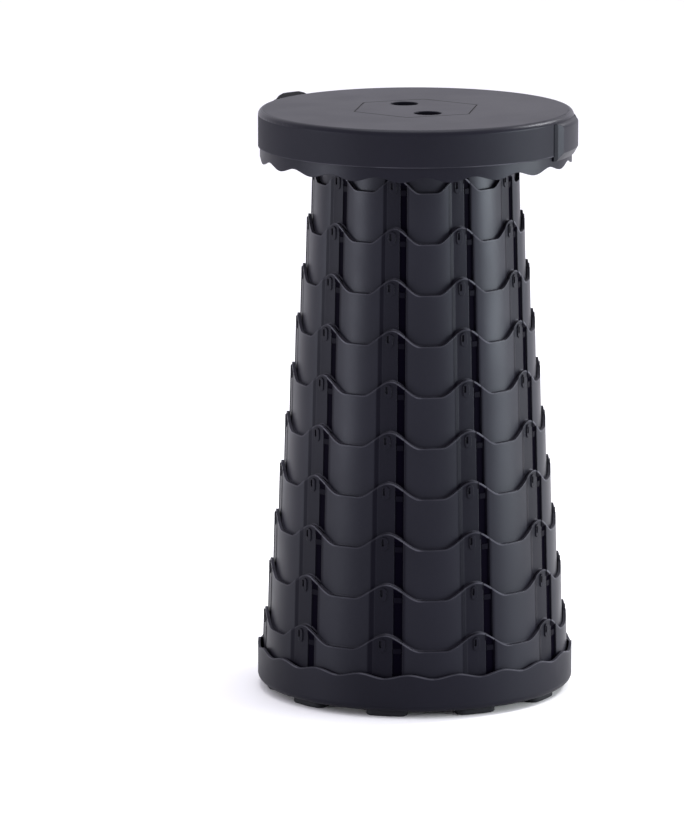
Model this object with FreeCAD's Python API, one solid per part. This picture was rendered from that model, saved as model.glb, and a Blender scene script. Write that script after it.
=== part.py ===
import FreeCAD, Part
import math
import os

V = FreeCAD.Vector
AXIS_Z = V(0, 0, 1)
ORIGIN = V(0, 0, 0)
tolerance = 1e-6

# Driving sizes in millimetres and degrees.
# The stool stands on z = 0 with its axis on Z, fully pulled out, and its front towards -Y.

# Telescoping rings
ring_count = 11
stage_travel = 38.9
ring_trough_height = 44.4
scallop_height = 12.2
ring_wall = 2.6
ring_step = 4.27
outer_ring_radius = 120.2
ring_draft = 1.47
nest_gap = 0.3

# Panels and channels around each ring
panel_count = 10
channel_centre = -65.1
strip_start = -4.8
groove_start = 2.7
groove_end = 6.4
panel_shoulder = 1.6
strip_depth = 0.9
groove_depth = 1.7
groove_floor_height = 2.6
groove_top_height = 50.4
scallop_flat = 4.6

# Shape of a wavy edge: how far the curve holds its level at the trough and at the crest
wave_trough_hold = 0.33
wave_crest_hold = 0.38
wave_overrun = 1.2
wave_cut_above = 4.0
ring_wave_reach = 9.0
edge_wave_reach = 6.0
ring_trim = 1.0

# Travel keys and catch bosses at the top of each channel
key_height_from_bottom = 42.2
key_height = 4.4
key_reach = 1.9
key_side_gap = 0.5
catch_width = 5.2
catch_height = 10.5
catch_below_peak = 2.8
catch_angle = -1.2
catch_slot_width = 1.8
catch_slot_height = 5.6
catch_slot_depth = 1.5
catch_slot_side = 1.2
catch_slot_below_top = 1.4

# Seat
seat_diameter = 245.0
seat_cover_thickness = 1.4
seat_skirt_height = 28.7
seat_skirt_wall = 1.3
seat_edge_radius = 4.5
frame_plate_thickness = 1.3
frame_wall = 1.1
frame_fit = 0.1
frame_corner_radius = 1.0
top_gap = 0.7
lip_drop = 9.4
lip_wave_height = 4.0
lip_wave_centre = -77.3
edge_wave_count = 20

# Hexagonal cap with two finger holes
cap_sides = 6
cap_across_corners = 102.0
cap_corner_radius = 3.0
cap_gap = 0.6
cap_hole_diameter = 21.5
cap_hole_spacing = 55.2
cap_hole_line = 109.0
cap_turn = 3.3
cap_collar_wall = 2.0
cap_collar_length = 12.0
cap_collar_fit = 0.15
cap_hole_round = 0.6

# Flange and screws that hold the innermost ring under the seat
flange_width = 14.0
flange_thickness = 3.0
screw_count = 6
screw_inset = 7.7
screw_first_angle = 30.0
screw_diameter = 4.0
screw_hole_clearance = 0.4
screw_head_diameter = 7.5
screw_head_height = 2.2
screw_grip = 0.9
screw_drive_length = 4.5
screw_drive_width = 1.1
screw_drive_depth = 1.2

# Base tray
base_diameter = 247.0
base_wall = 2.1
base_floor = 2.6
base_side_height = 28.2
base_wave_height = 3.2
base_wave_centre = -74.1
base_bottom_radius = 5.2
snap_width = 9.0
snap_height = 3.0
snap_from_bottom = 8.0
snap_reach = 0.8
snap_fit = 0.15
pocket_overrun = 1.0

# Foot pads
foot_height = 5.0
foot_length = 34.0
foot_depth = 15.0
foot_outer_radius = 117.0
foot_corner_radius = 6.0
foot_edge_radius = 1.5

# Strap lugs on the seat's skirt
lug_angles = {"left": 140.5, "right": -16.3}
lug_width_angle = 19.6
lug_gap = 2.2
lug_plate = 1.6
lug_foot_height = 2.0
lug_top_drop = 3.5
lug_tail_taper = 3.0
lug_tray_gap = 0.5
lug_lip_gap = 0.3
lug_top_round = 4.5
lug_slot_overrun = 1.0
lug_ramps = ["right"]
lug_ramp_angle = 4.4

# Carry strap and the pins that hold its ends
strap_width = 20.0
strap_thickness = 1.5
strap_clearance = 0.35
strap_end_inset = 4.6
strap_hem_diameter = 2.1
pin_diameter = 1.2
pin_end_cover = 1.0
skirt_arc_span = 24.0

# Hand loop of the strap at the back
loop_angle = 94.0
loop_half_width = 29.0
loop_reach = 66.0
loop_foot_reach = 1.2
loop_foot_bend = 6.0
loop_foot_lead = 9.6
loop_top_share = 0.82
loop_top_bend_share = 0.9

# Fold of the strap over the left lug
fold_reach = 9.4
fold_tail = 4.2
fold_lead_angle = 1.0
fold_start_rise = 0.4
fold_start_bend = 1.6
fold_return_drop = 1.0
fold_return_bend = 3.0
fold_crown_rise = 1.2
fold_crown_bend = 40.0
fold_leave_angle = 1.5
fold_leave_bend = 12.0
fold_foot_angle = 7.0
fold_foot_bend = 8.0
fold_foot_lead = 2.0

# Sizes that follow from the driving sizes
draft = math.tan(math.radians(ring_draft))
ring_height = ring_trough_height + scallop_height
floor_top = foot_height + base_floor
pulled_out = stage_travel * (ring_count - 1)
frame_underside = floor_top + ring_height + top_gap + pulled_out
frame_top = frame_underside + frame_plate_thickness
seat_top_z = frame_top + seat_cover_thickness
seat_radius = seat_diameter / 2
skirt_bottom = seat_top_z - seat_skirt_height
skirt_inner = seat_radius - seat_skirt_wall
frame_outer = skirt_inner - frame_fit
frame_inner = frame_outer - frame_wall
base_radius = base_diameter / 2
base_inner = base_radius - base_wall
panel_pitch = 360.0 / panel_count
tray_rim_top = foot_height + base_side_height + base_wave_height / 2
lug_tail_z = pulled_out + tray_rim_top + lug_tray_gap
strap_mid_z = (seat_top_z - lug_top_drop + skirt_bottom) / 2
strap_radius = seat_radius + strap_clearance + strap_thickness / 2


def polar(radius, angle, z=0.0):
    """Point at a radius and an angle in degrees about the Z axis."""
    a = math.radians(angle)
    return V(radius * math.cos(a), radius * math.sin(a), z)


def turned(shape, angle):
    """Copy of a shape turned about the Z axis."""
    copy = shape.copy()
    copy.rotate(ORIGIN, AXIS_Z, angle)
    return copy


def tube(outer, inner, z0, z1):
    """Plain round tube between two heights."""
    body = Part.makeCylinder(outer, z1 - z0, V(0, 0, z0))
    return body.cut(Part.makeCylinder(inner, z1 - z0, V(0, 0, z0)))


def sector(inner, outer, z0, z1, start, end):
    """Block between two radii, two heights and two angles."""
    mid = (start + end) / 2
    edges = [
        Part.Arc(polar(outer, start, z0), polar(outer, mid, z0), polar(outer, end, z0)).toShape(),
        Part.LineSegment(polar(outer, end, z0), polar(inner, end, z0)).toShape(),
        Part.Arc(polar(inner, end, z0), polar(inner, mid, z0), polar(inner, start, z0)).toShape(),
        Part.LineSegment(polar(inner, start, z0), polar(outer, start, z0)).toShape(),
    ]
    return Part.Face(Part.Wire(edges)).extrude(V(0, 0, z1 - z0))


def revolved(points, rounds=None):
    """Solid turned about Z from a closed outline of (radius, z) points.

    rounds gives a fillet radius for the corner at each listed index.
    """
    rounds = rounds or {}
    count = len(points)
    corners = [V(r, 0, z) for r, z in points]
    starts, ends, arcs = [], [], []
    for i, corner in enumerate(corners):
        radius = rounds.get(i, 0.0)
        before = (corners[i - 1] - corner).normalize()
        after = (corners[(i + 1) % count] - corner).normalize()
        if radius == 0.0:
            starts.append(corner)
            ends.append(corner)
            arcs.append(None)
            continue
        half = before.getAngle(after) / 2
        set_back = radius / math.tan(half)
        middle = (before + after).normalize()
        centre = corner + middle * (radius / math.sin(half))
        starts.append(corner + before * set_back)
        ends.append(corner + after * set_back)
        arcs.append(Part.Arc(starts[-1], centre - middle * radius, ends[-1]).toShape())
    edges = []
    for i in range(count):
        if arcs[i] is not None:
            edges.append(arcs[i])
        start = ends[i]
        end = starts[(i + 1) % count]
        if start.distanceToPoint(end) > tolerance:
            edges.append(Part.LineSegment(start, end).toShape())
    face = Part.Face(Part.Wire(edges))
    return face.revolve(ORIGIN, AXIS_Z, 360)


def upright_edges(shape):
    """Straight edges of a shape that run along Z."""
    return [edge for edge in shape.Edges
            if isinstance(edge.Curve, Part.Line)
            and abs(edge.Curve.Direction.x) + abs(edge.Curve.Direction.y) < tolerance]


def wave_cutters(radius, reach, count, centre, crest_z, height, flat, away):
    """Blocks that cut a wavy edge into a round wall.

    Each block reaches one trough, at the angle centre and its repeats. The trough is
    flat over plus and minus flat degrees and rises smoothly to the crest between two
    troughs. away is +1 for an upper edge and -1 for a lower one.
    """
    half_pitch = 180.0 / count
    crest = radius * math.sin(math.radians(half_pitch))
    trough = radius * math.sin(math.radians(flat))
    run = crest - trough
    trough_z = crest_z - away * height
    end = crest + wave_overrun
    clear = crest_z + away * (height + wave_cut_above)

    def point(u, z):
        return V(radius - reach, u, z)

    rise = Part.BezierCurve()
    rise.setPoles([point(trough, trough_z), point(trough + wave_trough_hold * run, trough_z),
                   point(crest - wave_crest_hold * run, crest_z), point(crest, crest_z)])
    fall = Part.BezierCurve()
    fall.setPoles([point(-crest, crest_z), point(-crest + wave_crest_hold * run, crest_z),
                   point(-trough - wave_trough_hold * run, trough_z), point(-trough, trough_z)])
    corners = [point(crest, crest_z), point(end, crest_z), point(end, clear),
               point(-end, clear), point(-end, crest_z), point(-crest, crest_z)]
    edges = [Part.LineSegment(a, b).toShape() for a, b in zip(corners, corners[1:])]
    edges += [fall.toShape(), rise.toShape()]
    if flat > 0:
        edges.append(Part.LineSegment(point(-trough, trough_z), point(trough, trough_z)).toShape())
    face = Part.Face(Part.Wire(Part.__sortEdges__(edges)))
    block = face.extrude(V(2 * reach, 0, 0))
    return [turned(block, centre + i * 360.0 / count) for i in range(count)]


def ring_outline(radius, z):
    """Closed wire of one ring's outer section: panel, shoulder, strip and groove, repeated."""
    strip_radius = radius - strip_depth
    groove_radius = radius - groove_depth
    edges = []

    def arc(r, start, end):
        edges.append(Part.Arc(polar(r, start, z), polar(r, (start + end) / 2, z), polar(r, end, z)).toShape())

    def line(r0, a0, r1, a1):
        edges.append(Part.LineSegment(polar(r0, a0, z), polar(r1, a1, z)).toShape())

    for i in range(panel_count):
        centre = channel_centre + i * panel_pitch
        strip = centre + strip_start
        groove = centre + groove_start
        panel = centre + groove_end
        line(radius, strip - panel_shoulder, strip_radius, strip)
        arc(strip_radius, strip, groove)
        line(strip_radius, groove, groove_radius, groove)
        arc(groove_radius, groove, panel)
        line(groove_radius, panel, radius, panel)
        arc(radius, panel, strip - panel_shoulder + panel_pitch)
    return Part.Wire(edges)


def ring_radius(index):
    """Outer radius of a ring at its bottom edge; ring 1 is the innermost."""
    return outer_ring_radius - ring_step * (ring_count - index)


def ring_bottom(index):
    """Height of a ring's bottom edge with the stool pulled out."""
    lift = nest_gap if index < ring_count else 0.0
    return floor_top + lift + stage_travel * (ring_count - index)


def stadium_block(x0, x1, width, top, height):
    """Upright block with round ends between two places along X."""
    half = width / 2
    upper = top - half
    lower = top - height + half
    edges = [
        Part.LineSegment(V(x0, half, lower), V(x0, half, upper)).toShape(),
        Part.Arc(V(x0, half, upper), V(x0, 0, top), V(x0, -half, upper)).toShape(),
        Part.LineSegment(V(x0, -half, upper), V(x0, -half, lower)).toShape(),
        Part.Arc(V(x0, -half, lower), V(x0, 0, top - height), V(x0, half, lower)).toShape(),
    ]
    return Part.Face(Part.Wire(edges)).extrude(V(x1 - x0, 0, 0))


def channel_places():
    """Angle of every channel's middle."""
    return [channel_centre + i * panel_pitch for i in range(panel_count)]


def ring_details(radius, index, top):
    """What closes and crosses the channels of a ring: rim bridges, travel keys and catch bosses.

    top is the height of the blank that the ring is cut from.
    """
    pieces = []
    key_z = key_height_from_bottom
    key_outer = radius - draft * (key_z + key_height / 2) - strip_depth
    key_inner = key_outer + strip_depth - ring_wall - (key_reach if index > 1 else 0.0)
    gap = math.degrees(key_side_gap / key_outer)
    rim_radius = radius - draft * top
    catch_top = ring_height - catch_below_peak
    catch_radius = radius - draft * (catch_top - catch_height / 2)
    boss = stadium_block(catch_radius - ring_wall, catch_radius, catch_width, catch_top, catch_height)
    for centre in channel_places():
        pieces.append(sector(rim_radius - ring_wall, rim_radius, groove_top_height, top,
                             centre + groove_start, centre + groove_end))
        pieces.append(sector(key_inner, key_outer, key_z, key_z + key_height,
                             centre + groove_start + gap, centre + groove_end - gap))
        pieces.append(turned(boss, centre + catch_angle))
    return pieces


def catch_slots(radius):
    """Blocks that sink a slot into every catch boss of a ring."""
    slot_top = ring_height - catch_below_peak - catch_slot_below_top
    outer = radius - draft * (slot_top - catch_slot_height / 2)
    slot = stadium_block(outer - catch_slot_depth, outer + ring_wall, catch_slot_width,
                         slot_top, catch_slot_height)
    slot.translate(V(0, -catch_slot_side, 0))
    return [turned(slot, centre + catch_angle) for centre in channel_places()]


def telescoping_ring(index):
    """One tapered ring with its panels, channels, keys and scalloped top edge."""
    radius = ring_radius(index)
    blank_height = ring_height + ring_trim
    if index == 1:
        blank_height = frame_underside - ring_bottom(1)
    top_radius = radius - draft * blank_height
    body = Part.makeLoft([ring_outline(radius, 0), ring_outline(top_radius, blank_height)], True, True)
    band = Part.makeCone(radius, radius - draft * groove_floor_height, groove_floor_height)
    core = Part.makeCone(radius - ring_wall, top_radius - ring_wall, blank_height)
    body = body.cut(core).fuse([band.cut(core)] + ring_details(radius, index, blank_height))
    if index == 1:
        return body.cut(catch_slots(radius))
    cutters = wave_cutters(top_radius, ring_wave_reach, panel_count, channel_centre + panel_pitch / 2,
                           ring_height, scallop_height, scallop_flat, 1)
    return body.cut(cutters + catch_slots(radius))


def screw_places():
    """Centres of the screws in the innermost ring's flange."""
    bore = ring_radius(1) - draft * ring_height - ring_wall
    first = channel_centre + screw_first_angle
    return [polar(bore - screw_inset, first + i * 360.0 / screw_count) for i in range(screw_count)]


def innermost_ring():
    """Ring 1: it carries the flange that is screwed under the seat."""
    body = telescoping_ring(1)
    height = frame_underside - ring_bottom(1)
    bore = ring_radius(1) - draft * height - ring_wall
    flange = tube(bore + ring_wall / 2, bore - flange_width, height - flange_thickness, height)
    body = body.fuse(flange)
    hole = (screw_diameter + screw_hole_clearance) / 2
    for place in screw_places():
        body = body.cut(Part.makeCylinder(hole, flange_thickness, place + V(0, 0, height - flange_thickness)))
    return body


def outermost_ring():
    """Ring 11: it snaps into the base tray with lugs at the foot of each panel."""
    body = telescoping_ring(ring_count)
    half = math.degrees(snap_width / 2 / base_inner)
    lugs = []
    inner = ring_radius(ring_count) - ring_wall / 2
    for channel in channel_places():
        centre = channel + panel_pitch / 2
        lugs.append(sector(inner, base_inner + snap_reach, snap_from_bottom,
                           snap_from_bottom + snap_height, centre - half, centre + half))
    return body.fuse(lugs)


def make_rings():
    """All rings, each standing at its pulled-out height."""
    rings = {}
    for index in range(1, ring_count + 1):
        if index == 1:
            body = innermost_ring()
        elif index == ring_count:
            body = outermost_ring()
        else:
            body = telescoping_ring(index)
        body = body.removeSplitter()
        body.translate(V(0, 0, ring_bottom(index)))
        rings["ring_%02d" % index] = body
    return rings


def rounded_hexagon(across_corners, corner_radius, z0, z1):
    """Six-sided prism with rounded corners, turned a little from the line of the finger holes."""
    first = cap_hole_line + cap_turn + 180.0 / cap_sides
    points = [polar(across_corners / 2, first + i * 360.0 / cap_sides, z0) for i in range(cap_sides)]
    prism = Part.Face(Part.makePolygon(points + points[:1])).extrude(V(0, 0, z1 - z0))
    return prism.makeFillet(corner_radius, upright_edges(prism))


def cap_hole_places(z):
    """Centres of the two finger holes."""
    return [polar(cap_hole_spacing / 2, cap_hole_line + turn, z) for turn in (0, 180)]


def seat_cover():
    """Round seat top with its skirt, opened in the middle for the hexagonal cap."""
    outline = [(0, seat_top_z), (seat_radius, seat_top_z), (seat_radius, skirt_bottom),
               (skirt_inner, skirt_bottom), (skirt_inner, frame_top), (0, frame_top)]
    inner_round = seat_edge_radius - seat_skirt_wall
    body = revolved(outline, {1: seat_edge_radius, 4: inner_round})
    opening = cap_across_corners + 2 * cap_gap
    body = body.cut(rounded_hexagon(opening, cap_corner_radius + cap_gap, frame_top, seat_top_z))
    for place in screw_places():
        body = body.cut(Part.makeCylinder(screw_diameter / 2, screw_grip, place + V(0, 0, frame_top)))
    return body


def seat_frame():
    """Plate and inner wall under the seat cover; its lower edge is the wavy lip."""
    lip_low = skirt_bottom - lip_drop - lip_wave_height / 2
    outline = [(0, frame_top), (frame_outer, frame_top), (frame_outer, lip_low),
               (frame_inner, lip_low), (frame_inner, frame_underside), (0, frame_underside)]
    outer_round = seat_edge_radius - seat_skirt_wall - frame_fit
    body = revolved(outline, {1: outer_round, 4: frame_corner_radius})
    centre = lip_wave_centre + 180.0 / edge_wave_count
    body = body.cut(wave_cutters(frame_outer, edge_wave_reach, edge_wave_count, centre,
                                 lip_low, lip_wave_height, 0.0, -1))
    collar_hole = cap_hole_diameter / 2 + cap_collar_wall + cap_collar_fit
    for place in cap_hole_places(frame_underside):
        body = body.cut(Part.makeCylinder(collar_hole, frame_plate_thickness, place))
    hole = (screw_diameter + screw_hole_clearance) / 2
    for place in screw_places():
        body = body.cut(Part.makeCylinder(hole, frame_plate_thickness, place + V(0, 0, frame_underside)))
    return body


def hex_cap():
    """Hexagonal cap with two finger holes and the collars that plug it into the frame."""
    body = rounded_hexagon(cap_across_corners, cap_corner_radius, frame_top, seat_top_z)
    hole_radius = cap_hole_diameter / 2
    collar_bottom = frame_underside - cap_collar_length
    for place in cap_hole_places(collar_bottom):
        length = frame_top - collar_bottom
        body = body.fuse(Part.makeCylinder(hole_radius + cap_collar_wall, length, place))
    for place in cap_hole_places(collar_bottom):
        body = body.cut(Part.makeCylinder(hole_radius, seat_top_z - collar_bottom, place))
    rims = [edge for edge in body.Edges
            if isinstance(edge.Curve, Part.Circle)
            and abs(edge.Curve.Radius - hole_radius) < tolerance
            and abs(edge.Curve.Center.z - seat_top_z) < tolerance]
    return body.removeSplitter().makeFillet(cap_hole_round, rims)


def seat_screws():
    """Screws through the innermost ring's flange and the frame into the seat cover."""
    head_z = frame_underside - flange_thickness - screw_head_height
    screws = []
    for place in screw_places():
        foot = place + V(0, 0, head_z)
        head = Part.makeCylinder(screw_head_diameter / 2, screw_head_height, foot)
        shank_length = screw_head_height + flange_thickness + frame_plate_thickness + screw_grip
        screw = head.fuse(Part.makeCylinder(screw_diameter / 2, shank_length, foot))
        slot = Part.makeBox(screw_drive_length, screw_drive_width, screw_drive_depth,
                            V(-screw_drive_length / 2, -screw_drive_width / 2, 0))
        for turn in (0, 90):
            cross = turned(slot, turn)
            cross.translate(foot)
            screw = screw.cut(cross)
        screws.append(screw.removeSplitter())
    return Part.makeCompound(screws)


def base_tray():
    """Round tray that holds the outermost ring; its upper edge is a low wave."""
    outline = [(0, foot_height), (base_radius, foot_height), (base_radius, tray_rim_top),
               (base_inner, tray_rim_top), (base_inner, floor_top), (0, floor_top)]
    body = revolved(outline, {1: base_bottom_radius})
    centre = base_wave_centre + 180.0 / edge_wave_count
    body = body.cut(wave_cutters(base_radius, edge_wave_reach, edge_wave_count, centre,
                                 tray_rim_top, base_wave_height, 0.0, 1))
    half = math.degrees((snap_width / 2 + snap_fit) / base_inner)
    z0 = floor_top + snap_from_bottom - snap_fit
    z1 = floor_top + snap_from_bottom + snap_height + snap_fit
    pockets = []
    for channel in channel_places():
        centre = channel + panel_pitch / 2
        pockets.append(sector(base_inner - pocket_overrun, base_inner + snap_reach + snap_fit, z0, z1,
                              centre - half, centre + half))
    return body.cut(pockets)


def foot_pad():
    """One rubber pad, flat on the floor and curved with the base on its outer side."""
    half = math.degrees(foot_length / 2 / foot_outer_radius)
    pad = sector(foot_outer_radius - foot_depth, foot_outer_radius, 0, foot_height, -half, half)
    pad = pad.makeFillet(foot_corner_radius, upright_edges(pad))
    lower = [edge for edge in pad.Edges if edge.BoundBox.ZMax < tolerance]
    return pad.makeFillet(foot_edge_radius, lower)


def make_feet():
    """A pad under every channel of the outermost ring."""
    pad = foot_pad()
    return {"foot_pad_%02d" % number: turned(pad, channel)
            for number, channel in enumerate(channel_places(), 1)}


def pin_angle(side):
    """Angle of the strap pin near the rear edge of a lug; side is left or right."""
    inset = math.degrees(strap_end_inset / strap_radius)
    return lug_angles[side] - lug_width_angle / 2 + inset


def strap_pin(side):
    """Upright pin through both feet of a lug and the strap's hem."""
    top = seat_top_z - lug_top_drop - pin_end_cover
    bottom = skirt_bottom + pin_end_cover
    return Part.makeCylinder(pin_diameter / 2, top - bottom, polar(strap_radius, pin_angle(side), bottom))


def lug_ramp(inner, outer, z0, z1, start):
    """Wedge that runs from the skirt up to a lug's front end."""
    foot = start - lug_ramp_angle
    corners = [polar(inner, start, z0), polar(outer, start, z0), polar(seat_radius, foot, z0),
               polar(inner, foot, z0), polar(inner, start, z0)]
    return Part.Face(Part.makePolygon(corners)).extrude(V(0, 0, z1 - z0))


def strap_lug(side):
    """Belt loop on the skirt: a round-shouldered plate over the strap, with a tapered tail.

    The tail ends just above the tray's rim when the stool is pushed together.
    """
    start = lug_angles[side] - lug_width_angle / 2
    end = lug_angles[side] + lug_width_angle / 2
    top = seat_top_z - lug_top_drop
    plate_inner = seat_radius + lug_gap
    plate_outer = plate_inner + lug_plate
    root = frame_outer + lug_lip_gap
    section = revolved([(root, lug_tail_z), (plate_outer - lug_tail_taper, lug_tail_z),
                        (plate_outer, skirt_bottom + lug_foot_height), (plate_outer, top),
                        (root, top)], {3: lug_top_round})
    plan = sector(root, plate_outer, lug_tail_z, top, start, end)
    if side in lug_ramps:
        plan = plan.fuse(lug_ramp(root, plate_outer, lug_tail_z, top, start))
    slot_start = start if side in lug_ramps else start - lug_slot_overrun
    slot = sector(seat_radius, plate_inner, skirt_bottom + lug_foot_height, top - lug_foot_height,
                  slot_start, end + lug_slot_overrun)
    skirt_edge = seat_top_z - seat_edge_radius
    skirt = Part.makeCylinder(seat_radius, skirt_edge - skirt_bottom, V(0, 0, skirt_bottom))
    dome = revolved([(0, skirt_edge), (seat_radius, skirt_edge), (seat_radius, seat_top_z),
                     (0, seat_top_z)], {2: seat_edge_radius})
    return section.common(plan).cut([skirt, dome, slot, strap_pin(side)]).removeSplitter()


def strap_route():
    """Corners of the strap's middle line seen from above, as (x, y, bend radius).

    It starts on the pin in the left lug, folds back over that lug, follows the skirt,
    stands out in a hand loop at the back and follows the skirt to the right lug.
    """
    route = []

    def add(radius, angle, bend):
        place = polar(radius, angle)
        route.append((place.x, place.y, bend))

    def follow_skirt(start, end):
        pieces = max(1, math.ceil(abs(end - start) / skirt_arc_span))
        step = (end - start) / pieces
        for i in range(pieces):
            middle = start + (i + 0.5) * step
            add(strap_radius / math.cos(math.radians(step / 2)), middle, strap_radius)

    # End pin and fold over the left lug
    lug = lug_angles["left"]
    lug_rear = lug - lug_width_angle / 2
    lug_front = lug + lug_width_angle / 2
    fold_radius = seat_radius + fold_reach - strap_thickness / 2
    tail = math.degrees(fold_tail / strap_radius)
    add(strap_radius, pin_angle("left"), 0)
    follow_skirt(pin_angle("left"), lug_front - fold_lead_angle)
    add(strap_radius + fold_start_rise, lug_front + tail, fold_start_bend)
    add(fold_radius - fold_return_drop, lug_front + tail, fold_return_bend)
    add(fold_radius + fold_crown_rise, lug, fold_crown_bend)
    add(fold_radius - fold_return_drop, lug_rear - fold_leave_angle, fold_leave_bend)

    # Back of the skirt up to the hand loop
    loop_half_angle = math.degrees(math.asin(loop_half_width / strap_radius))
    lead = math.degrees(loop_foot_lead / strap_radius)
    foot = lug_rear - fold_foot_angle
    add(strap_radius / math.cos(math.radians(fold_foot_lead)), foot, fold_foot_bend)
    follow_skirt(foot - fold_foot_lead, loop_angle + loop_half_angle + lead)

    # Hand loop
    out = polar(1.0, loop_angle)
    side = V(-out.y, out.x, 0)
    foot_out = strap_radius * math.cos(math.radians(loop_half_angle)) + loop_foot_reach
    top_out = strap_radius + loop_reach
    top_half = loop_half_width * loop_top_share
    top_bend = top_half * loop_top_bend_share
    for across, along, bend in ((loop_half_width, foot_out, loop_foot_bend),
                                (top_half, top_out, top_bend),
                                (-top_half, top_out, top_bend),
                                (-loop_half_width, foot_out, loop_foot_bend)):
        place = side * across + out * along
        route.append((place.x, place.y, bend))

    # Back of the skirt down to the pin in the right lug
    follow_skirt(loop_angle - loop_half_angle - lead, pin_angle("right"))
    add(strap_radius, pin_angle("right"), 0)
    return route


def band_pieces(route, thickness, z0, height):
    """Solids of a flat band on edge: a box for each straight run and a sector for each bend."""
    points = [V(x, y, z0) for x, y, bend in route]
    pieces = []
    start = points[0]
    for i in range(1, len(points)):
        corner = points[i]
        if i == len(points) - 1:
            end = corner
            bend = None
        else:
            before = (points[i - 1] - corner).normalize()
            after = (points[i + 1] - corner).normalize()
            half = before.getAngle(after) / 2
            radius = route[i][2]
            set_back = radius / math.tan(half)
            end = corner + before * set_back
            bend = (corner, before, after, half, radius, set_back)
        run = end - start
        if run.Length > tolerance:
            along = V(run).normalize()
            across = V(-along.y, along.x, 0) * (thickness / 2)
            face = Part.Face(Part.makePolygon([start + across, end + across, end - across,
                                               start - across, start + across]))
            pieces.append(face.extrude(V(0, 0, height)))
        if bend is None:
            break
        corner, before, after, half, radius, set_back = bend
        middle = (before + after).normalize()
        centre = corner + middle * (radius / math.sin(half))
        finish = corner + after * set_back
        rings = []
        for r in (radius + thickness / 2, radius - thickness / 2):
            scale = r / radius
            rings.append([centre + (end - centre) * scale, centre - middle * r,
                          centre + (finish - centre) * scale])
        outer, inner = rings
        wire = Part.Wire([Part.Arc(*outer).toShape(),
                          Part.LineSegment(outer[2], inner[2]).toShape(),
                          Part.Arc(inner[2], inner[1], inner[0]).toShape(),
                          Part.LineSegment(inner[0], outer[0]).toShape()])
        pieces.append(Part.Face(wire).extrude(V(0, 0, height)))
        start = finish
    return pieces


def carry_strap():
    """Webbing strap with a hem round the pin at each end."""
    z0 = strap_mid_z - strap_width / 2
    pieces = band_pieces(strap_route(), strap_thickness, z0, strap_width)
    for side in lug_angles:
        place = polar(strap_radius, pin_angle(side), z0)
        pieces.append(Part.makeCylinder(strap_hem_diameter / 2, strap_width, place))
    body = pieces[0].fuse(pieces[1:])
    for side in lug_angles:
        body = body.cut(strap_pin(side))
    return body.removeSplitter()


def make_nodes():
    """Every piece by its node name."""
    nodes = {}
    nodes.update(make_rings())
    nodes["seat_cover"] = seat_cover()
    nodes["seat_frame"] = seat_frame()
    nodes["hex_cap"] = hex_cap()
    nodes["seat_screws"] = seat_screws()
    nodes["base_tray"] = base_tray()
    nodes.update(make_feet())
    for side in lug_angles:
        nodes["strap_lug_" + side] = strap_lug(side)
        nodes["strap_pin_" + side] = strap_pin(side)
    nodes["carry_strap"] = carry_strap()
    return nodes


def main():
    os.makedirs("parts", exist_ok=True)
    for name, shape in make_nodes().items():
        solids = shape.Solids
        print("%-16s solids %d  volume %9.1f  valid %s  z %.2f to %.2f" % (
            name, len(solids), shape.Volume, shape.isValid(), shape.BoundBox.ZMin, shape.BoundBox.ZMax))
        shape.exportStep("parts/%s.step" % name)


main()
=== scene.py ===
# %% [markdown]
# # A telescopic stool
# This lesson dresses a finished CAD model. The CAD gives every shape its place and size, so
# here each part gets its material, the webbing strap gets its folds and its weave, and the
# stool is lit and framed like a product on a white table.

# %% Load the frame
import bmesh
import bpy
import math
from mathutils import Matrix, Vector


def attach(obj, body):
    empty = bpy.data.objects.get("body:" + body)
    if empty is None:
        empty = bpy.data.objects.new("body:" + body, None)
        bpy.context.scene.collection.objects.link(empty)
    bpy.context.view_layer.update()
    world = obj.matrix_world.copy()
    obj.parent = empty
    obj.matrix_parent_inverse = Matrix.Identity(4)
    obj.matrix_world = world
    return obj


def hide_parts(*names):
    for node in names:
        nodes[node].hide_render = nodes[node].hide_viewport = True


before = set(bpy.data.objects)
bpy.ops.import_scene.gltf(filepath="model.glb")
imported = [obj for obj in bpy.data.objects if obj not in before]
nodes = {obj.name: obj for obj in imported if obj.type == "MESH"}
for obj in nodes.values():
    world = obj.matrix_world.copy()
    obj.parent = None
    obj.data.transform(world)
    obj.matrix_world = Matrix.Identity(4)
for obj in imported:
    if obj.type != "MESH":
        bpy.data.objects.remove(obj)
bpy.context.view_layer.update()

# %% [markdown]
# ## The camera
# A product shot is taken from far away with a long lens, which keeps upright lines
# parallel, where a near camera would make the base look narrow. A camera 4.75 m away, 1.13 m
# up and tilted down a little sees the seat as a thin ellipse. Turning it slightly to the
# left sets the stool right of the middle.

# %% Camera
camera_distance = 4.752
camera_height = 1.131
camera_pitch = math.radians(10.87)
camera_turn = math.radians(0.686)
picture_height_px = 820
focal_px = 6188

camera_data = bpy.data.cameras.new("camera")
camera_data.sensor_width = 36.0
camera_data.lens = focal_px / picture_height_px * camera_data.sensor_width
camera_data.clip_end = 50.0
camera = bpy.data.objects.new("camera", camera_data)
bpy.context.collection.objects.link(camera)
camera.location = (0.0, -camera_distance, camera_height)
camera.rotation_euler = (math.pi / 2 - camera_pitch, 0.0, camera_turn)
bpy.context.scene.camera = camera
print("lens:", round(camera_data.lens, 1), "mm")

# %% [markdown]
# ## The table
# The stool stands on one wide pale sheet, bright enough to print as paper white. Only a soft
# shadow under the tray tells where it is.

# %% Table
table_half_width = 6.0
table_color = (0.95, 0.95, 0.95, 1.0)
table_roughness = 0.7

floor_mesh = bpy.data.meshes.new("table_top")
bm = bmesh.new()
bmesh.ops.create_grid(bm, x_segments=1, y_segments=1, size=table_half_width)
bm.to_mesh(floor_mesh)
bm.free()
table_top = bpy.data.objects.new("table_top", floor_mesh)
bpy.context.collection.objects.link(table_top)


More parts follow.
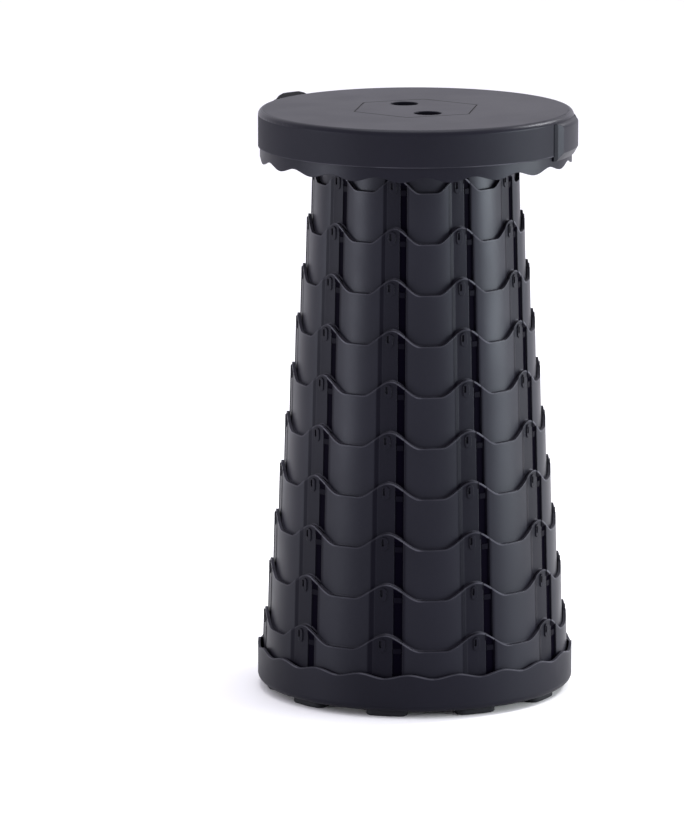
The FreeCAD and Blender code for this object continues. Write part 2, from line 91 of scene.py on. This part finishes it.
def new_material(name):
    """A material with nodes, and its main shader."""
    material = bpy.data.materials.new(name)
    material.use_nodes = True
    return material, material.node_tree.nodes["Principled BSDF"]


floor_paint, shader = new_material("white_table")
shader.inputs["Base Color"].default_value = table_color
shader.inputs["Roughness"].default_value = table_roughness
floor_mesh.materials.append(floor_paint)
print("table:", 2 * table_half_width, "m wide")

# %% [markdown]
# ## Light
# Dark, half-glossy plastic shows its form by what it reflects. A low soft box on the
# right draws the light band on the rounded rings, a weaker one lifts the left side, a small
# one high up behind the right side draws a line along the seat's edge, and a wide one
# overhead brightens every rim. The sky is an even white with a breath of violet. A picture
# of a studio round the scene could light it too, but boxes are moved one at a time.

# %% Lights
sky_color = (0.96, 0.94, 1.04, 1.0)
sky_strength = 1.1
stool_middle = (0.0, 0.0, 0.23)
seat_middle = (0.0, 0.0, 0.45)

world = bpy.data.worlds.new("studio")
world.use_nodes = True
background = world.node_tree.nodes["Background"]
background.inputs["Color"].default_value = sky_color
background.inputs["Strength"].default_value = sky_strength
bpy.context.scene.world = world
bpy.context.scene.view_settings.view_transform = "Standard"


def soft_box(name, place, aim, width, height, power, color=(1.0, 1.0, 1.0)):
    """Rectangular area light at a place, facing a point."""
    data = bpy.data.lights.new(name, "AREA")
    data.shape = "RECTANGLE"
    data.size = width
    data.size_y = height
    data.energy = power
    data.color = color
    light = bpy.data.objects.new(name, data)
    bpy.context.collection.objects.link(light)
    light.location = place
    light.rotation_euler = (Vector(aim) - Vector(place)).to_track_quat("-Z", "Y").to_euler()
    print(name, "gives", power, "W")


soft_box("right_box", (1.9, -0.30, 0.30), stool_middle, 1.3, 0.52, 46, (0.93, 1.0, 0.98))
soft_box("left_box", (-1.9, -0.75, 0.20), stool_middle, 0.9, 0.40, 19)
soft_box("edge_box", (1.25, 0.75, 1.50), seat_middle, 0.45, 0.45, 24)
soft_box("top_box", (0.0, 0.3, 2.4), stool_middle, 1.4, 1.4, 24)

# %% [markdown]
# ## Helpers for materials
# A procedural material is a small graph, and short helpers keep its code readable. The first
# adds a node and fills its sockets, the second adds a Math node and returns its result. The
# others make noise, stretch it, cut a window out of a value and mix two colours.

# %% Material helpers
noise_middle = (0.35, 0.65)
mix_factor = 0
mix_first = 6
mix_second = 7
mix_result = 2


def add_node(tree, kind, sockets=None, **settings):
    """A node with its settings, and its input sockets set to values or linked."""
    made = tree.nodes.new(kind)
    for key, value in settings.items():
        setattr(made, key, value)
    for key, value in (sockets or {}).items():
        if isinstance(value, bpy.types.NodeSocket):
            tree.links.new(value, made.inputs[key])
        else:
            made.inputs[key].default_value = value
    return made


def calc(tree, operation, *values):
    """Result of a Math node."""
    made = add_node(tree, "ShaderNodeMath", dict(enumerate(values)), operation=operation)
    return made.outputs[0]


def noise(tree, place, scale, detail=2.0):
    """Noise value from 0 to 1; scale counts blobs per metre."""
    made = add_node(tree, "ShaderNodeTexNoise", {"Vector": place, "Scale": scale, "Detail": detail})
    return made.outputs[0]


def spread(tree, value, low, high):
    """Stretch the useful middle of a noise value to a range."""
    made = add_node(tree, "ShaderNodeMapRange", {
        "Value": value, "From Min": noise_middle[0], "From Max": noise_middle[1],
        "To Min": low, "To Max": high})
    return made.outputs["Result"]


def window(tree, value, low, high, soft):
    """1 between two values and 0 outside them, with soft ends."""
    ends = []
    for start, before, after in ((low, 0.0, 1.0), (high, 1.0, 0.0)):
        made = add_node(tree, "ShaderNodeMapRange", {
            "Value": value, "From Min": start - soft / 2, "From Max": start + soft / 2,
            "To Min": before, "To Max": after}, interpolation_type="SMOOTHSTEP")
        ends.append(made.outputs["Result"])
    return calc(tree, "MULTIPLY", *ends)


def mix_color(tree, factor, first, second):
    """Mix two colours, each a socket or an (r, g, b) value."""
    colors = [c if isinstance(c, bpy.types.NodeSocket) else (*c, 1.0) for c in (first, second)]
    made = add_node(tree, "ShaderNodeMix", data_type="RGBA")
    for index, value in ((mix_factor, factor), (mix_first, colors[0]), (mix_second, colors[1])):
        if isinstance(value, bpy.types.NodeSocket):
            tree.links.new(value, made.inputs[index])
        else:
            made.inputs[index].default_value = value
    return made.outputs[mix_result]


# %% [markdown]
# ## Moulded plastic
# The rings, the tray and the seat are injection moulded in one black plastic with a breath of
# violet. Up close such plastic has a fine satin grain and soft clouds in its gloss, where
# the mould was polished by hand. Both come from noise, because an image would show a seam on
# a round part. Moulded parts have no knife edges, so the Bevel node rounds them in the
# shading, and every rim catches a thin line of light. The first piece to get the plastic is
# the plate under the seat, whose wavy lip shows below the skirt.

# %% Plastic
shell_color = (0.0062, 0.0058, 0.0092)
plain_shine = 0.17
violet_tint = (0.82, 0.86, 1.0, 1.0)
tone_spread = 0.15
clouds_per_metre = 9.0
gloss_clouds_per_metre = 20.7
grains_per_metre = 1100.0
grain_depth = 0.0002


def moulded_plastic(name, color, gloss, shine=plain_shine, edge=0.0006, grain=0.12):
    """Plastic with grain, clouds and soft edges; gloss is the range of its roughness.

    Returns (material, tree, place, shader).
    """
    material, shader = new_material(name)
    tree = material.node_tree
    shader.inputs["Specular IOR Level"].default_value = shine
    shader.inputs["Specular Tint"].default_value = violet_tint
    place = add_node(tree, "ShaderNodeTexCoord").outputs["Object"]
    cloud = spread(tree, noise(tree, place, clouds_per_metre, detail=3.0), 0.0, 1.0)
    deep = tuple((1 - tone_spread) * c for c in color)
    pale = tuple((1 + tone_spread) * c for c in color)
    tree.links.new(mix_color(tree, cloud, deep, pale), shader.inputs["Base Color"])
    gloss_clouds = noise(tree, place, gloss_clouds_per_metre, detail=4.0)
    tree.links.new(spread(tree, gloss_clouds, *gloss), shader.inputs["Roughness"])
    rounded = add_node(tree, "ShaderNodeBevel", {"Radius": edge}, samples=4).outputs["Normal"]
    bump = add_node(tree, "ShaderNodeBump", {
        "Height": noise(tree, place, grains_per_metre), "Normal": rounded,
        "Strength": grain, "Distance": grain_depth})
    tree.links.new(bump.outputs["Normal"], shader.inputs["Normal"])
    return material, tree, place, shader


def give(material, *names):
    """Set every material slot of the named CAD nodes."""
    for name in names:
        mesh = nodes[name].data
        if not mesh.materials:
            mesh.materials.append(material)
        for index in range(len(mesh.materials)):
            mesh.materials[index] = material
    print(material.name, "on", len(names), "nodes")


lip_shine = 0.11
lip_plastic = moulded_plastic("lip_plastic", shell_color, (0.34, 0.44), lip_shine)[0]
give(lip_plastic, "seat_frame")

# %% [markdown]
# ## Joint round the cap
# Dust and shadow gather in the joint round the hexagonal cap, so a dark line follows it. It
# could be painted on an image, but a formula stays sharp: a hexagon is where the largest of
# three distances, measured square to its sides, has one value.

# %% Seat plastic and joint
cap_across_corners = 0.102
cap_gap = 0.0006
cap_side_angle = 112.3
joint_tone = (0.0005, 0.0005, 0.0008)
joint_half_width = 0.0008
joint_softness = 0.0006


def linked_socket(node, name):
    """The socket that feeds one of a node's inputs."""
    return node.inputs[name].links[0].from_socket


def stain(tree, shader, mask, color):
    """Mix a colour into a material where a mask is 1."""
    plain = linked_socket(shader, "Base Color")
    tree.links.new(mix_color(tree, mask, plain, color), shader.inputs["Base Color"])


seat_plastic, tree, place, shader = moulded_plastic(
    "seat_plastic", shell_color, (0.615, 0.645), edge=0.0012)
axes = add_node(tree, "ShaderNodeSeparateXYZ", {"Vector": place}).outputs
across_sides = []
for turn in (0, 60, 120):
    side = math.radians(cap_side_angle + turn)
    part_x = calc(tree, "MULTIPLY", axes["X"], math.cos(side))
    square = calc(tree, "MULTIPLY_ADD", axes["Y"], math.sin(side), part_x)
    across_sides.append(calc(tree, "ABSOLUTE", square))
outward = calc(tree, "MAXIMUM", calc(tree, "MAXIMUM", *across_sides[:2]), across_sides[2])
joint = cap_across_corners / 2 * math.cos(math.radians(30)) + cap_gap / 2
line = window(tree, outward, joint - joint_half_width, joint + joint_half_width, joint_softness)
stain(tree, shader, line, joint_tone)
print("joint, from side to side in mm:", round(2000 * joint, 1))

# %% [markdown]
# ## Polish of the seat
# The skirt is more matt than the rings. The top is as glossy as they are, and hands polish
# the rounded edge between the two. All three are one moulding, so one material holds them
# and tells them apart by height.

# %% Seat polish
seat_shine = 0.14
skirt_shine = 0.125
joint_shine = 0.05
edge_start = 0.4525
edge_end = 0.4562
edge_softness = 0.0008
top_polish = 0.18
edge_polish = 0.30

on_top = calc(tree, "GREATER_THAN", axes["Z"], edge_end)
on_edge = window(tree, axes["Z"], edge_start, edge_end, edge_softness)
gleam = calc(tree, "MULTIPLY_ADD", on_top, seat_shine - skirt_shine, skirt_shine)
gleam = calc(tree, "MULTIPLY_ADD", line, joint_shine - seat_shine, gleam)
tree.links.new(gleam, shader.inputs["Specular IOR Level"])
polish = calc(tree, "MULTIPLY", on_edge, edge_polish)
polish = calc(tree, "ADD", calc(tree, "MULTIPLY", on_top, top_polish), polish)
plain_gloss = linked_socket(shader, "Roughness")
tree.links.new(calc(tree, "SUBTRACT", plain_gloss, polish), shader.inputs["Roughness"])
give(seat_plastic, "seat_cover", "hex_cap")

# %% [markdown]
# ## Painted rim highlights
# The rounded rims catch a thin line of light, and here that line is painted into the colour:
# a grey band just under each rim. That could be painted by hand, but the wavy rims repeat
# round the axis: with the angle from the nearest crest, a smooth step gives the height of the
# rim there, and a thin band just under it is paler. The light comes from one side, so the
# painted highlight is full on one flank of every crest and faint on the other. The skirt's
# edge is straight, so its height alone finds the painted highlight along it.

# %% Rim line
rim_highlight_tone = (0.050, 0.049, 0.060)
rim_softness = 0.0006
rim_highlight_blobs_per_metre = 60.0
flank_softness = 0.3


def around(tree, place, centre, pitch):
    """Height, and angle in degrees from the nearest of the angles centre + n * pitch."""
    axes = add_node(tree, "ShaderNodeSeparateXYZ", {"Vector": place}).outputs
    angle = calc(tree, "DEGREES", calc(tree, "ARCTAN2", axes["Y"], axes["X"]))
    shifted = calc(tree, "SUBTRACT", angle, centre - pitch / 2)
    nearest = calc(tree, "SUBTRACT", calc(tree, "WRAP", shifted, pitch, 0.0), pitch / 2)
    return axes["Z"], nearest


def rim_band(tree, height, angle, crest, trough, span, width):
    """Mask of a thin band under a wavy rim."""
    rim = add_node(tree, "ShaderNodeMapRange", {
        "Value": calc(tree, "ABSOLUTE", angle), "From Min": 0.0, "From Max": span,
        "To Min": crest, "To Max": trough}, interpolation_type="SMOOTHSTEP").outputs["Result"]
    return window(tree, calc(tree, "SUBTRACT", height, rim), -width, rim_softness, rim_softness)


def rim_highlight(tree, place, band, angle, span, least):
    """Painted highlight: a band's mask made uneven, full on the lit flank of each crest and faint
    elsewhere.
    """
    flank = window(tree, angle, 0.0, span, flank_softness * span)
    share = calc(tree, "MULTIPLY_ADD", flank, 1.0 - least, least)
    blobs = spread(tree, noise(tree, place, rim_highlight_blobs_per_metre), 0.5, 1.0)
    return calc(tree, "MULTIPLY", calc(tree, "MULTIPLY", band, share), blobs)


# %% Skirt's edge highlight
skirt_bottom = 0.4279
skirt_highlight_line = (skirt_bottom - 0.001, skirt_bottom + 0.0007)
skirt_highlight_softness = 0.0005
skirt_highlight_blobs_per_metre = 25.0

# Painted highlight: a paler, broken line along the lower edge of the skirt.
skirt_edge_highlight = window(tree, axes["Z"], *skirt_highlight_line, skirt_highlight_softness)
skirt_highlight_blobs = spread(tree, noise(tree, place, skirt_highlight_blobs_per_metre), 0.2, 1.0)
stain(tree, shader, calc(tree, "MULTIPLY", skirt_edge_highlight, skirt_highlight_blobs), rim_highlight_tone)
print("skirt's edge at", round(1000 * skirt_bottom, 1), "mm")

# %% [markdown]
# ## Tray plastic
# The tray is of the same plastic, with less shine, a painted shade that keeps it darker in
# the stool's own shadow. Its low rim has twenty waves and gets the same painted highlight as
# the rings' rims. The helpers for the rings' rims serve it too, with the waves' own place,
# pitch and height, so that nothing is painted twice.

# %% Tray plastic
# Lower shine: painted shade for the stool's shadow over the tray.
tray_shaded_shine = 0.085
tray_wave_centre = -74.1
tray_wave_pitch = 18.0
tray_crest = 0.0348
tray_wave_height = 0.0032
tray_rim_width = 0.0009
tray_least_highlight = 0.5

tray_plastic, tree, place, shader = moulded_plastic(
    "tray_plastic", shell_color, (0.42, 0.50), tray_shaded_shine, 0.0009)
height, angle = around(tree, place, tray_wave_centre, tray_wave_pitch)
tray_rim = rim_band(tree, height, angle, tray_crest, tray_crest - tray_wave_height,
                    tray_wave_pitch / 2, tray_rim_width)
# Painted highlight: a paler band under the tray's wavy rim.
tray_rim_highlight = rim_highlight(tree, place, tray_rim, angle, tray_wave_pitch / 2, tray_least_highlight)
stain(tree, shader, tray_rim_highlight, rim_highlight_tone)
give(tray_plastic, "base_tray")

# %% [markdown]
# ## Ring plastic
# Ten channels run down every ring. Each has a sunken strip, which stays in half shade, and
# beside it a deep groove that shadow makes almost black. They could be painted ring by
# ring, but all are found from the angle round the Z axis, so one material serves all eleven
# rings. Heights repeat from ring to ring: the travel key in the groove is a little less
# dark, and the rim that bridges the groove isn't darkened at all.

# %% Ring channels
panel_pitch = 36.0
channel_centre = -65.1
shoulder_start = -6.8
strip_start = -4.8
groove_start = 2.7
groove_end = 6.4
groove_edge_end = 7.2
groove_tone = (0.0012, 0.0008, 0.0028)
groove_softness = 0.5
key_heights = (0.0033, 0.0077)
key_softness = 0.0004
key_light = 0.15
first_ring_bottom = 0.0079
stage_travel = 0.0389
rim_crest = 0.0177
rim_trough = 0.0055
rim_slope_angle = 13.4
rim_width = 0.0011

ring_plastic, tree, place, shader = moulded_plastic(
    "ring_plastic", shell_color, (0.42, 0.48), edge=0.0008)
above_floor, angle = around(tree, place, channel_centre, panel_pitch)
above_first = calc(tree, "SUBTRACT", above_floor, first_ring_bottom)
height = calc(tree, "WRAP", above_first, stage_travel, 0.0)
key = window(tree, height, *key_heights, key_softness)
rim = rim_band(tree, height, angle, rim_crest, rim_trough, rim_slope_angle, rim_width)
filled = calc(tree, "MAXIMUM", rim, calc(tree, "MULTIPLY", key, key_light))
groove = window(tree, angle, groove_start, groove_end, groove_softness)
dark = calc(tree, "MULTIPLY", groove, calc(tree, "SUBTRACT", 1.0, filled))
for start, end, softness, shade in (
        (strip_start, groove_start, 1.0, 0.42),
        (shoulder_start, strip_start, 0.8, 0.65),
        (groove_end, groove_edge_end, 1.6, 0.7)):
    half_shade = calc(tree, "MULTIPLY", window(tree, angle, start, end, softness), shade)
    dark = calc(tree, "MAXIMUM", dark, half_shade)
stain(tree, shader, dark, groove_tone)
print("channels per ring:", round(360 / panel_pitch))

# %% [markdown]
# ## Shine of the rings
# On a white table the lower rings look duller than the upper ones. More soft boxes could do
# that, but it's simpler to let the shine grow with height, a painted shade. It falls to almost
# nothing in the grooves, with their painted shade. The rims' painted highlight is laid last,
# so that nothing darkens its line.

# %% Ring shine
shine_top_height = 0.45
lowest_shine = 0.105
highest_shine = 0.22
groove_dimming = 0.95
ring_least_highlight = 0.28

ring_shine = add_node(tree, "ShaderNodeMapRange", {
    "Value": above_floor, "From Min": 0.0, "From Max": shine_top_height,
    "To Min": lowest_shine, "To Max": highest_shine}).outputs["Result"]
shown = calc(tree, "SUBTRACT", 1.0, calc(tree, "MULTIPLY", dark, groove_dimming))
tree.links.new(calc(tree, "MULTIPLY", ring_shine, shown), shader.inputs["Specular IOR Level"])
# Painted highlight: a paler band under every rim, full on one flank of each crest.
ring_rim_highlight = rim_highlight(tree, place, rim, angle, rim_slope_angle, ring_least_highlight)
stain(tree, shader, ring_rim_highlight, rim_highlight_tone)
print("shine from", lowest_shine, "to", highest_shine)

# %% [markdown]
# ## Crowned panels
# The panels between the channels stand out a little in the middle, which narrows the light
# that each reflects. In the shape this would be under two millimetres, so the shading does it
# alone: a second Bump node, between the rounded edges and the grain, has a height that falls
# with the square of the angle from the panel's middle.

# %% Panel crown
panel_half_angle = 11.6
panel_crown = 0.0018

off_panel = around(tree, place, channel_centre + panel_pitch / 2, panel_pitch)[1]
share = calc(tree, "ABSOLUTE", calc(tree, "DIVIDE", off_panel, panel_half_angle))
share = calc(tree, "MINIMUM", share, 1.0)
crown = calc(tree, "MULTIPLY", calc(tree, "MULTIPLY", share, share), -panel_crown)
grain_bump = linked_socket(shader, "Normal").node
rounded = linked_socket(grain_bump, "Normal")
crowned = add_node(tree, "ShaderNodeBump", {
    "Height": crown, "Normal": rounded, "Strength": 1.0, "Distance": 1.0})
tree.links.new(crowned.outputs["Normal"], grain_bump.inputs["Normal"])
give(ring_plastic, *["ring_%02d" % k for k in range(1, 12)])

# %% [markdown]
# ## Lugs
# The lugs that hold the strap are of the same plastic as the seat, with the gloss of the
# rings. The right one grows out of the skirt in a ramp, and the foot of the ramp stays in half
# shade. No lamp can be kept off so small a place, so a window of angles dims it.

# %% Lug plastic
ramp_foot = (-31.2, -28.6)
foot_softness = 0.5
foot_dimming = 0.6
lug_shine = 0.14

lug_plastic, tree, place, shader = moulded_plastic("lug_plastic", shell_color, (0.40, 0.48))
angle = around(tree, place, 0.0, 360.0)[1]
foot = window(tree, angle, *ramp_foot, foot_softness)
stain(tree, shader, foot, groove_tone)
dimmed_shine = calc(tree, "MULTIPLY_ADD", foot, -foot_dimming * lug_shine, lug_shine)
tree.links.new(dimmed_shine, shader.inputs["Specular IOR Level"])
give(lug_plastic, "strap_lug_left", "strap_lug_right")

# %% [markdown]
# ## Pads, pins and screws
# The pads are rubber, paler, coarser and more matt than the plastic. The pins and screws are
# of zinc-plated steel, a metal, whose reflections aren't tinted. Both are the moulded
# plastic with other values, because grain and soft edges suit them too.

# %% Rubber and steel
rubber_color = (0.009, 0.009, 0.010)
steel_color = (0.42, 0.42, 0.44)
steel_shine = 0.5
white = (1.0, 1.0, 1.0, 1.0)

rubber = moulded_plastic("foot_rubber", rubber_color, (0.68, 0.82), edge=0.0008, grain=0.3)[0]
give(rubber, *["foot_pad_%02d" % k for k in range(1, 11)])
steel, *_, shader = moulded_plastic("zinc_steel", steel_color, (0.3, 0.5), steel_shine, 0.0003, 0.1)
shader.inputs["Metallic"].default_value = 1.0
shader.inputs["Specular Tint"].default_value = white
give(steel, "seat_screws", "strap_pin_left", "strap_pin_right")

# %% [markdown]
# ## The strap's path
# The carry strap is polyester webbing. From a pin in the left lug it comes out forwards,
# folds back over the lug, follows the skirt, stands out behind the seat as a hand loop and
# ends on a pin in the right lug. Cloth simulation could fold it, but each fold has its place
# here, so the middle line is a chain of Bezier arcs. Each knot also says how far the
# webbing rises or droops there and how far it has twisted: the legs of the loop lie almost
# flat, and its far end stands on edge.

# %% Knots of the path
strap_radius = 0.1236
loop_angle = math.radians(94.0)
handle_onto_skirt = 0.0045
handle_off_skirt = 0.0040
knots = []


def knot(place, heading, before, after, rise=0.0, twist=0.0):
    """A point of the middle line, with the lengths of its two handles."""
    knots.append({"place": Vector(place), "heading": Vector(heading).normalized(),
                  "before": before, "after": after, "rise": rise, "twist": math.radians(twist)})


def knot_on_seat(radius, angle, turn, before, after, rise=0.0, twist=0.0, lean=0.0):
    """A knot at a radius and angle round the seat. turn is +1 for growing angles."""
    radians = math.radians(angle)
    outward = Vector((math.cos(radians), math.sin(radians)))
    along = Vector((-math.sin(radians), math.cos(radians))) * turn
    knot(outward * radius, along + outward * lean, before, after, rise, twist)


def knot_on_loop(side, out, heading_side, heading_out, before, after, rise, twist):
    """A knot measured across the hand loop and outwards from the stool's axis."""
    outward = Vector((math.cos(loop_angle), math.sin(loop_angle)))
    across = Vector((-outward.y, outward.x))
    knot(across * side + outward * out, across * heading_side + outward * heading_out,
         before, after, rise, twist)


def arc_handle(degrees):
    """Handle length that makes a Bezier arc of that many degrees follow the skirt."""
    return 4 / 3 * math.tan(math.radians(degrees / 4)) * strap_radius


def follow_skirt(start, end, steps):
    """Knots along the skirt, clockwise."""
    handle = arc_handle((start - end) / steps)
    for i in range(steps + 1):
        before = handle if i > 0 else handle_onto_skirt
        after = handle if i < steps else handle_off_skirt
        knot_on_seat(strap_radius, start + (end - start) * i / steps, -1, before, after)


# %% Left pin and fold
left_pin_angle = 132.8
lug_mouth_angle = 150.3

to_mouth = arc_handle(lug_mouth_angle - left_pin_angle)
knot_on_seat(strap_radius, left_pin_angle, 1, to_mouth, to_mouth)
knot_on_seat(strap_radius, lug_mouth_angle, 1, to_mouth, 0.0030, 0.0003)
knot_on_seat(0.1274, 153.6, 0.02, 0.0021, 0.0021, -0.0008, 0.0, 1.0)
knot_on_seat(0.1300, 150.8, -1, 0.0026, 0.0045, 0.0006, -2.0)
knot_on_seat(0.1308, 145.4, -1, 0.0045, 0.0040, 0.0030, -10.0)
knot_on_seat(0.1310, 141.2, -1, 0.0040, 0.0060, 0.0066, -14.0)
knot_on_seat(0.1310, 134.4, -1, 0.0060, 0.0030, 0.0064, -16.0)
knot_on_seat(0.1304, 131.2, -1, 0.0030, 0.0040, 0.0030, -10.0, -0.12)
follow_skirt(120.5, 111.6, 1)
print("knots up to the hand loop:", len(knots))

# %% Hand loop and right pin
right_pin_angle = -24.0

knot_on_loop(0.0288, 0.1295, -0.06, 1.0, 0.0040, 0.0050, -0.0006, 40.0)
knot_on_loop(0.0275, 0.1470, -0.06, 1.0, 0.0060, 0.0080, -0.0025, 74.0)
knot_on_loop(0.0235, 0.1720, -0.25, 1.0, 0.0080, 0.0070, -0.0060, 58.0)
knot_on_loop(0.0, 0.1885, -1.0, 0.0, 0.0110, 0.0110, -0.0085, 0.0)
knot_on_loop(-0.0235, 0.1720, -0.25, -1.0, 0.0070, 0.0080, -0.0064, -58.0)
knot_on_loop(-0.0275, 0.1470, -0.06, -1.0, 0.0080, 0.0060, -0.0030, -74.0)
knot_on_loop(-0.0288, 0.1295, -0.06, -1.0, 0.0050, 0.0040, -0.0008, -40.0)
follow_skirt(76.4, right_pin_angle, 5)
print("knots in all:", len(knots))

# %% [markdown]
# ## Stations
# A band needs many more points than a path has knots. Between two knots, stations a few
# millimetres apart follow the Bezier formula in plan, while rise and twist ease from one
# knot's value to the next.

# %% Stations of the path
strap_height = 0.4405
station_spacing = 0.0025
fewest_steps = 4

stations = []
for start, end in zip(knots, knots[1:]):
    steps = max(fewest_steps, round((end["place"] - start["place"]).length / station_spacing))
    handle_out = start["place"] + start["heading"] * start["after"]
    handle_in = end["place"] - end["heading"] * end["before"]
    for i in range(steps):
        t = i / steps
        place = ((1 - t) ** 3 * start["place"] + 3 * t * (1 - t) ** 2 * handle_out
                 + 3 * t * t * (1 - t) * handle_in + t ** 3 * end["place"])
        ease = t * t * (3 - 2 * t)
        rise = start["rise"] + (end["rise"] - start["rise"]) * ease
        twist = start["twist"] + (end["twist"] - start["twist"]) * ease
        stations.append((Vector((place.x, place.y, strap_height + rise)), twist))
stations.append((Vector((*knots[-1]["place"], strap_height)), 0.0))
strap_length = sum((b[0] - a[0]).length for a, b in zip(stations, stations[1:]))
print("strap stations:", len(stations), "length in mm:", round(1000 * strap_length))

# %% [markdown]
# ## The strap's band
# Webbing is a flat band with rounded selvedges. One cross section of a few vertices is
# extruded edge by edge from station to station, each time moved by the matrix that takes
# one station's axes to the next. A curve with a bevel would be shorter to write, but here
# every vertex remembers how far along and across the band it is, so that the weave can
# follow the bends.

# %% Cross section
strap_width = 0.020
strap_thickness = 0.0015
selvedge = 0.0006

half = strap_width / 2
shoulder = 0.3 * selvedge
levels = [-half, -half + shoulder, -half + selvedge, -half / 3, half / 3,
          half - selvedge, half - shoulder, half]
fullness = [0.0, 0.7, 1.0, 1.0, 1.0, 1.0, 0.7, 0.0]
profile = [(strap_thickness / 2 * full, level) for level, full in zip(levels, fullness)]
profile += [(-x, z) for x, z in reversed(profile[1:-1])]
bm = bmesh.new()
along_layer = bm.verts.layers.float.new("along")
across_layer = bm.verts.layers.float.new("across")
section = []
for x, z in profile:
    vert = bm.verts.new((x, 0.0, z))
    vert[across_layer] = z
    section.append(vert)
edges = [bm.edges.new(pair) for pair in zip(section, section[1:] + section[:1])]
bm.faces.new(section)
print("cross section:", len(section), "vertices")

# %% Strap band
def station_matrix(index):
    """Axes at a station: X through the band, Y along it and Z across its width."""
    place, twist = stations[index]
    before = stations[max(index - 1, 0)][0]
    after = stations[min(index + 1, len(stations) - 1)][0]
    along = (after - before).normalized()
    upright = (Vector((0, 0, 1)) - along * along.z).normalized()
    upright.rotate(Matrix.Rotation(twist, 3, along))
    through = along.cross(upright)
    return Matrix.Translation(place) @ Matrix((through, along, upright)).transposed().to_4x4()


matrix = station_matrix(0)
bmesh.ops.transform(bm, matrix=matrix, verts=section)
distance = 0.0
for index in range(1, len(stations)):
    grown = bmesh.ops.extrude_edge_only(bm, edges=edges)["geom"]
    fresh = [g for g in grown if isinstance(g, bmesh.types.BMVert)]
    edges = [g for g in grown if isinstance(g, bmesh.types.BMEdge)]
    following = station_matrix(index)
    bmesh.ops.transform(bm, matrix=following @ matrix.inverted(), verts=fresh)
    matrix = following
    distance += (stations[index][0] - stations[index - 1][0]).length
    for vert in fresh:
        vert[along_layer] = distance
bmesh.ops.holes_fill(bm, edges=edges, sides=len(section))
bmesh.ops.recalc_face_normals(bm, faces=bm.faces)
for face in bm.faces:
    face.smooth = True
strap_mesh = bpy.data.meshes.new("webbing_strap")
bm.to_mesh(strap_mesh)
print("strap faces:", len(bm.faces))
bm.free()

# %% Strap object
webbing_strap = bpy.data.objects.new("webbing_strap", strap_mesh)
bpy.context.collection.objects.link(webbing_strap)
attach(webbing_strap, "seat")
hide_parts("carry_strap")
print("strap reaches back in mm:", round(1000 * max(v.co.y for v in strap_mesh.vertices)))

# %% [markdown]
# ## Webbing
# The weave has ribs that run along the strap and yarns that cross them, over one rib and
# under the next. Every yarn could be a mesh, but a yarn is under a millimetre wide. Two sine
# waves in the stored lengths make that pattern, and a little noise varies the yarns.

# %% Webbing
rib_width = 0.0011
yarn_width = 0.0009
yarn_depth = 0.0003
fuzz_per_metre = 900.0
fuzz_share = 0.35
dust_blobs_per_metre = 30.0
web_deep = (0.003, 0.003, 0.005)
web_pale = (0.013, 0.013, 0.018)
web_dust = (0.006, 0.006, 0.009)

webbing, shader = new_material("black_webbing")
tree = webbing.node_tree
place = add_node(tree, "ShaderNodeTexCoord").outputs["Object"]
along = add_node(tree, "ShaderNodeAttribute", attribute_name="along").outputs["Fac"]
across = add_node(tree, "ShaderNodeAttribute", attribute_name="across").outputs["Fac"]
rib = calc(tree, "DIVIDE", across, rib_width)
rib_wave = calc(tree, "ABSOLUTE", calc(tree, "SINE", calc(tree, "MULTIPLY", rib, math.pi)))
shift = calc(tree, "MULTIPLY", calc(tree, "FLOOR", rib), 0.5)
yarn = calc(tree, "ADD", calc(tree, "DIVIDE", along, 2 * yarn_width), shift)
yarn_wave = calc(tree, "SINE", calc(tree, "MULTIPLY", yarn, 2 * math.pi))
yarn_wave = calc(tree, "MULTIPLY_ADD", yarn_wave, 0.5, 0.5)
weave = calc(tree, "MULTIPLY", rib_wave, yarn_wave)
fuzz = noise(tree, place, fuzz_per_metre)
height = calc(tree, "MULTIPLY_ADD", fuzz, fuzz_share, weave)
bump = add_node(tree, "ShaderNodeBump", {
    "Height": height, "Strength": 0.5, "Distance": yarn_depth})
tree.links.new(bump.outputs["Normal"], shader.inputs["Normal"])
tree.links.new(mix_color(tree, weave, web_deep, web_pale), shader.inputs["Base Color"])
dust = spread(tree, noise(tree, place, dust_blobs_per_metre), 0.0, 0.35)
stain(tree, shader, dust, web_dust)
shader.inputs["Roughness"].default_value = 0.8
shader.inputs["Specular IOR Level"].default_value = 0.2
shader.inputs["Sheen Weight"].default_value = 0.05
strap_mesh.materials.append(webbing)
print("ribs across the strap:", round(strap_width / rib_width))
